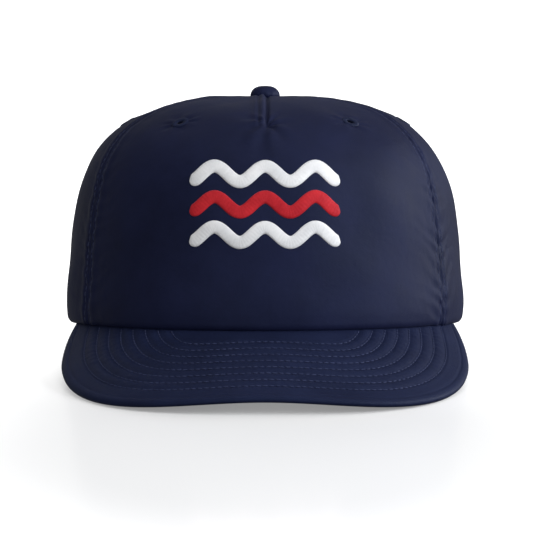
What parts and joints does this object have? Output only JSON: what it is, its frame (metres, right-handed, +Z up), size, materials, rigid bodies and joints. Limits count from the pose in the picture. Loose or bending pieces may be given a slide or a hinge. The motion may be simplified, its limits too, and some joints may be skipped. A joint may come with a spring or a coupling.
{
  "type": "soft cap with peak",
  "caption": "Soft five-panel cap with a curved stiffened peak, covered top button, sewn eyelets and a plastic snap strap across an arched back opening.",
  "frame": {"origin": "centre of the bounding box in plan, on the surface the cap stands on", "axes": "+Z up from the surface, -Y out through the peak (the front), +X towards the wearer's left"},
  "size_m": [0.1939, 0.2608, 0.1271],
  "materials": {
    "nylon": "tightly woven nylon with a soft sheen",
    "seam_tape": "matt woven tape",
    "sweatband": "soft padded band",
    "label": "blank satin label",
    "board": "stiff plastic board",
    "thread": "polyester sewing thread",
    "strap": "soft moulded plastic",
    "metal": "plain pressed metal",
    "print_white": "raised white embroidery",
    "print_red": "raised red embroidery"
  },
  "bodies": {
    "crown": {"front_panel": "nylon", "side_panel_left": "nylon", "side_panel_right": "nylon", "back_panel_left": "nylon", "back_panel_right": "nylon", "seam_tape_front_left": "seam_tape", "seam_tape_front_right": "seam_tape", "seam_tape_side_left": "seam_tape", "seam_tape_side_right": "seam_tape", "seam_tape_back_center": "seam_tape", "opening_binding": "seam_tape", "sweatband": "sweatband", "care_label": "label", "peak_top_cover": "nylon", "peak_board": "board", "peak_under_cover": "nylon", "peak_stitching": "thread", "crown_topstitching": "thread", "hole_strap_tab": "strap", "stud_strap_tab": "strap", "button_cover": "nylon", "button_shell": "metal", "button_prong": "metal", "button_backing": "metal", "eyelet_front_left": "thread", "eyelet_front_right": "thread", "eyelet_side_left": "thread", "eyelet_side_right": "thread", "eyelet_back_left": "thread", "eyelet_back_right": "thread", "emblem_white": "print_white", "emblem_red": "print_red"},
    "hole_strap": {"hole_strap": "strap"},
    "stud_strap": {"stud_strap": "strap"}
  },
  "joints": [
    {"name": "hole_strap_peel", "type": "hinge", "parent": "crown", "child": "hole_strap", "pos_m": [0.04364, 0.11752, 0.01241], "axis": [0, -0.135, -0.9908], "range_deg": [0, 70], "stiffness_Nm_per_rad": 0.02},
    {"name": "stud_strap_flex", "type": "hinge", "parent": "crown", "child": "stud_strap", "pos_m": [-0.04288, 0.11613, 0.0126], "axis": [0, -0.135, -0.9908], "range_deg": [0, 35], "stiffness_Nm_per_rad": 0.02}
  ]
}
